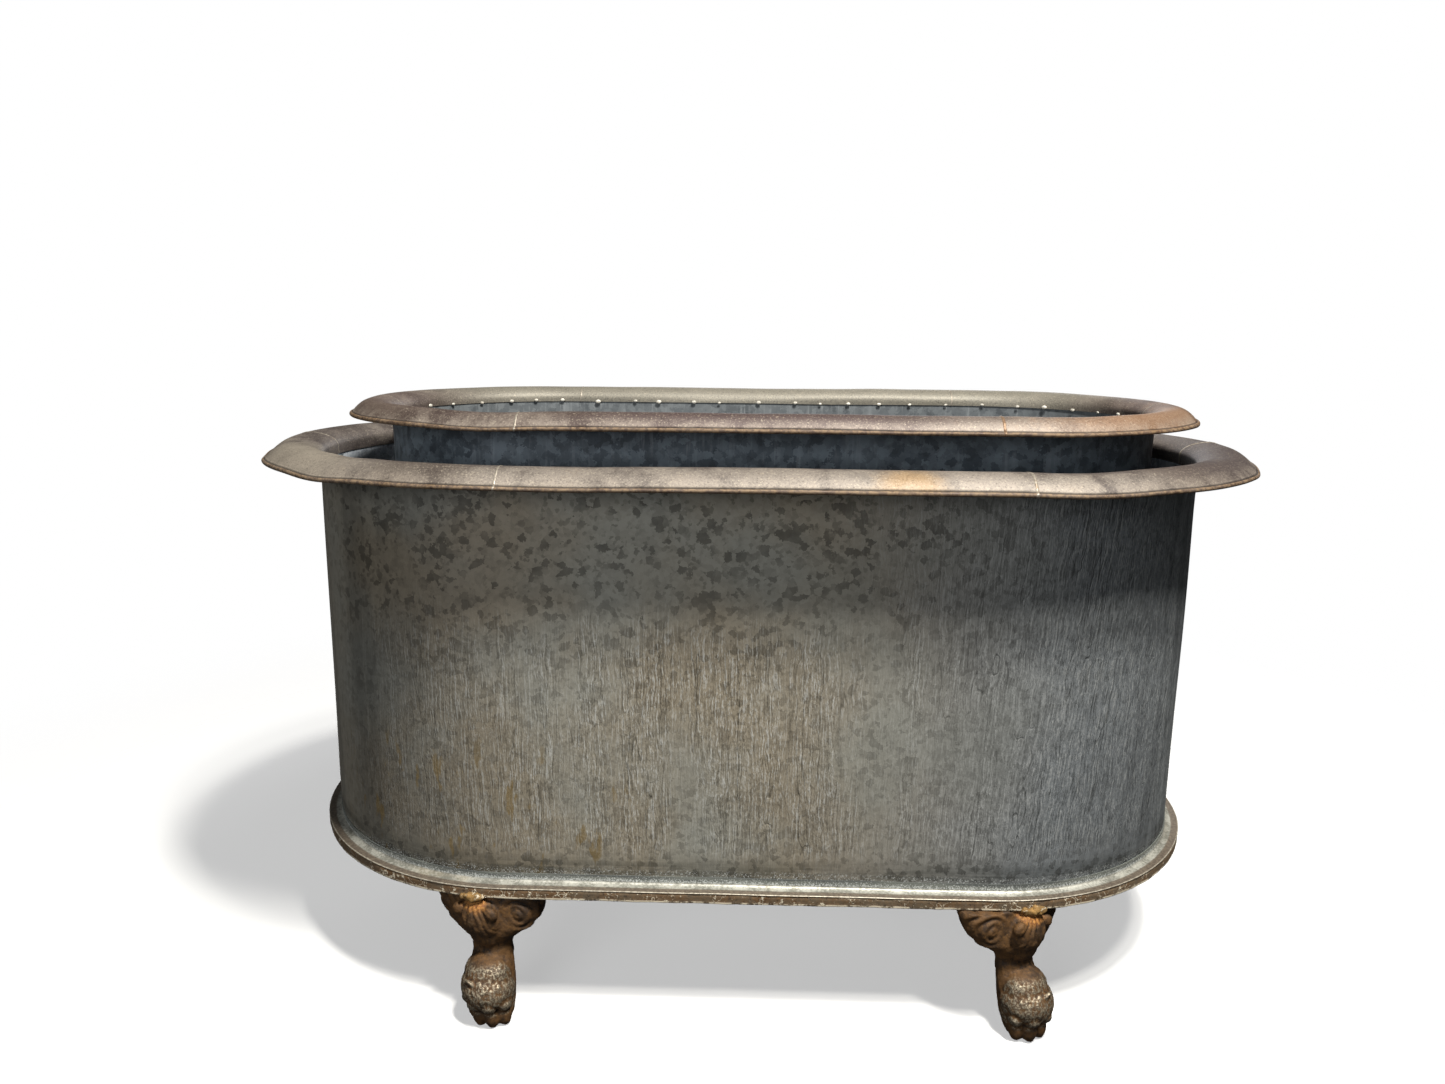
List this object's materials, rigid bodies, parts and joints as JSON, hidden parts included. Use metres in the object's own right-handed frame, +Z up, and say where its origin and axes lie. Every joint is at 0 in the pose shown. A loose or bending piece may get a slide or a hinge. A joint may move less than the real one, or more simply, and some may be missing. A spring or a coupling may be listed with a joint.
{
  "type": "livestock water trough",
  "caption": "Large round-ended galvanised water trough on cast paw feet, with a smaller matching trough standing inside it that lifts straight out.",
  "frame": {"origin": "on the ground, at the middle of the large trough's length and width", "axes": "+X along the length to the right, +Y to the back, +Z up"},
  "size_m": [1.2218, 0.6818, 0.686],
  "materials": {
    "zinc_sheet": "weathered galvanised sheet",
    "zinc_moulding": "bright weathered zinc",
    "rim_sheet": "brown stained galvanised sheet",
    "rusty_steel": "rusted mild steel",
    "cast_iron": "rusty casting"
  },
  "bodies": {
    "outer_tub": {"outer_bearer_left": "rusty_steel", "outer_bearer_middle": "rusty_steel", "outer_bearer_right": "rusty_steel", "outer_cove_back": "zinc_moulding", "outer_cove_front": "zinc_moulding", "outer_floor": "zinc_sheet", "outer_foot_back_left": "cast_iron", "outer_foot_back_right": "cast_iron", "outer_foot_front_left": "cast_iron", "outer_foot_front_right": "cast_iron", "outer_rim_back": "rim_sheet", "outer_rim_back_left": "rim_sheet", "outer_rim_back_right": "rim_sheet", "outer_rim_front": "rim_sheet", "outer_rim_front_left": "rim_sheet", "outer_rim_front_right": "rim_sheet", "outer_ring_back": "rusty_steel", "outer_ring_front": "rusty_steel", "outer_seam_strip_left": "zinc_sheet", "outer_seam_strip_right": "zinc_sheet", "outer_wall_back": "zinc_sheet", "outer_wall_front": "zinc_sheet", "outer_weld_back_left": "rusty_steel", "outer_weld_back_right": "rusty_steel", "outer_weld_front_left": "rusty_steel", "outer_weld_front_right": "rusty_steel"},
    "inner_tub": {"inner_bearer_left": "rusty_steel", "inner_bearer_middle": "rusty_steel", "inner_bearer_right": "rusty_steel", "inner_cove_back": "zinc_moulding", "inner_cove_front": "zinc_moulding", "inner_floor": "zinc_sheet", "inner_foot_back_left": "cast_iron", "inner_foot_back_right": "cast_iron", "inner_foot_front_left": "cast_iron", "inner_foot_front_right": "cast_iron", "inner_rim_back": "rim_sheet", "inner_rim_back_left": "rim_sheet", "inner_rim_back_right": "rim_sheet", "inner_rim_front": "rim_sheet", "inner_rim_front_left": "rim_sheet", "inner_rim_front_right": "rim_sheet", "inner_ring_back": "rusty_steel", "inner_ring_front": "rusty_steel", "inner_seam_strip_left": "zinc_sheet", "inner_seam_strip_right": "zinc_sheet", "inner_wall_back": "zinc_sheet", "inner_wall_front": "zinc_sheet", "inner_weld_back_left": "rusty_steel", "inner_weld_back_right": "rusty_steel", "inner_weld_front_left": "rusty_steel", "inner_weld_front_right": "rusty_steel"}
  },
  "joints": [
    {"name": "inner_tub_lift", "type": "slide", "parent": "outer_tub", "child": "inner_tub", "axis": [0, 0, 1], "range_m": [0, 0.5]}
  ]
}
